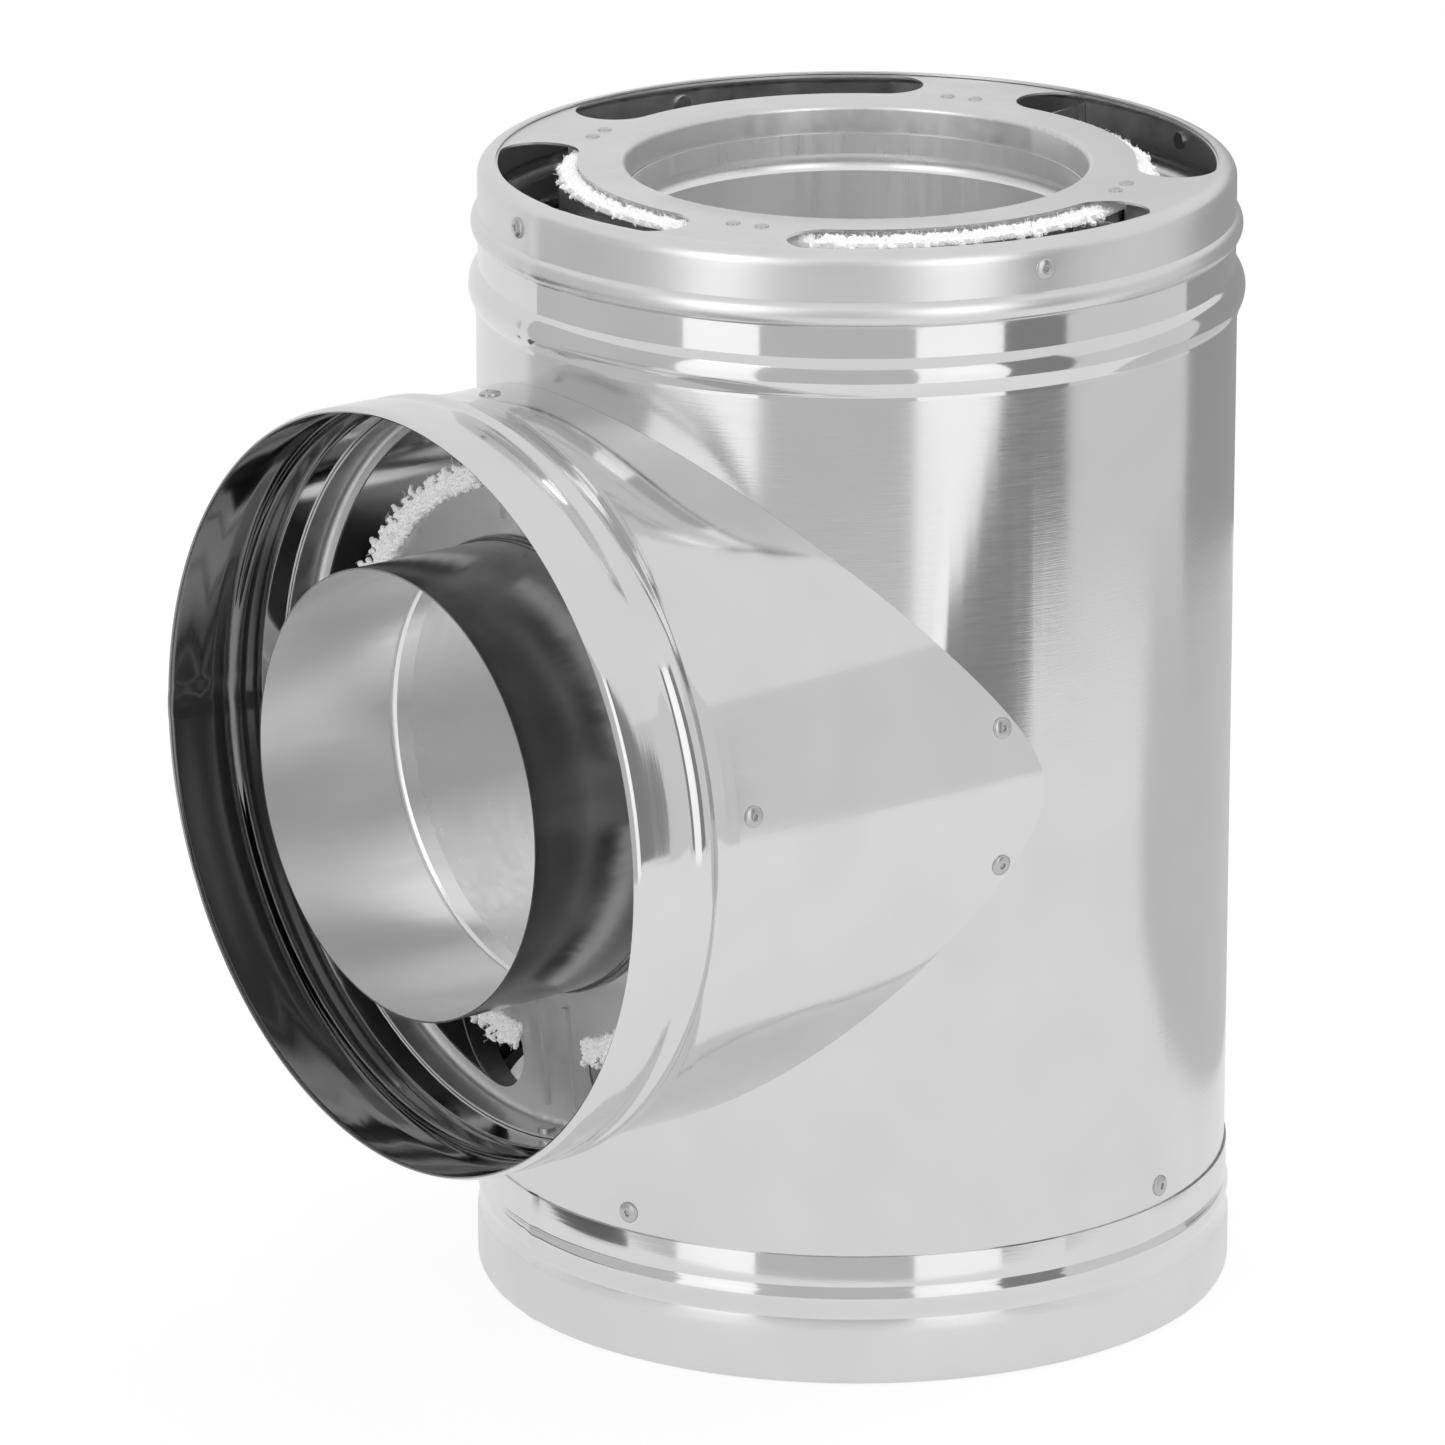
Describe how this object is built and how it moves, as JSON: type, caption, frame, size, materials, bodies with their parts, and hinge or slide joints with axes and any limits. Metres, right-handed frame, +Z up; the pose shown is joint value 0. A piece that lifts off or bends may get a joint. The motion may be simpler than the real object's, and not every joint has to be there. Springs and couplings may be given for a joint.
{
  "type": "insulated stove pipe tee",
  "caption": "Triple-wall insulated chimney tee in bright sheet steel: upright flue with a level branch, belled skirts, spigots, a top socket and vented end plates.",
  "frame": {"origin": "middle of the bottom rim, on the axis of the upright flue", "axes": "+Z up the flue, -Y out along the branch, +X to the branch's right-hand side seen from its mouth"},
  "size_m": [0.2593, 0.3232, 0.3866],
  "materials": {
    "casing": "bright rolled stainless sheet, soft reflections",
    "branch_casing": "bright rolled stainless sheet, slightly wavy reflections",
    "bands": "mirror-bright stainless sheet",
    "end_plates": "pressed stainless sheet",
    "liner": "bright stainless sheet",
    "spigots": "bright stainless sheet",
    "mid_walls": "mill-finish aluminised sheet",
    "wool": "white ceramic wool blanket",
    "rivets": "stainless blind rivets"
  },
  "bodies": {
    "root": {"casing_body": "casing", "branch_casing": "branch_casing", "top_band": "bands", "bottom_band": "bands", "branch_band": "bands", "top_end_plate": "end_plates", "bottom_end_plate": "end_plates", "branch_end_plate": "end_plates", "flue_liner": "liner", "branch_liner": "liner", "bottom_flue_spigot": "spigots", "branch_flue_spigot": "spigots", "mid_wall": "mid_walls", "branch_mid_wall": "mid_walls", "run_wool": "wool", "branch_wool": "wool", "mid_wall_clips": "mid_walls", "wall_spacers": "mid_walls", "top_rivets": "rivets", "bottom_rivets": "rivets", "branch_rivets": "rivets", "saddle_rivets": "rivets", "arm_rivets": "rivets"}
  },
  "joints": []
}
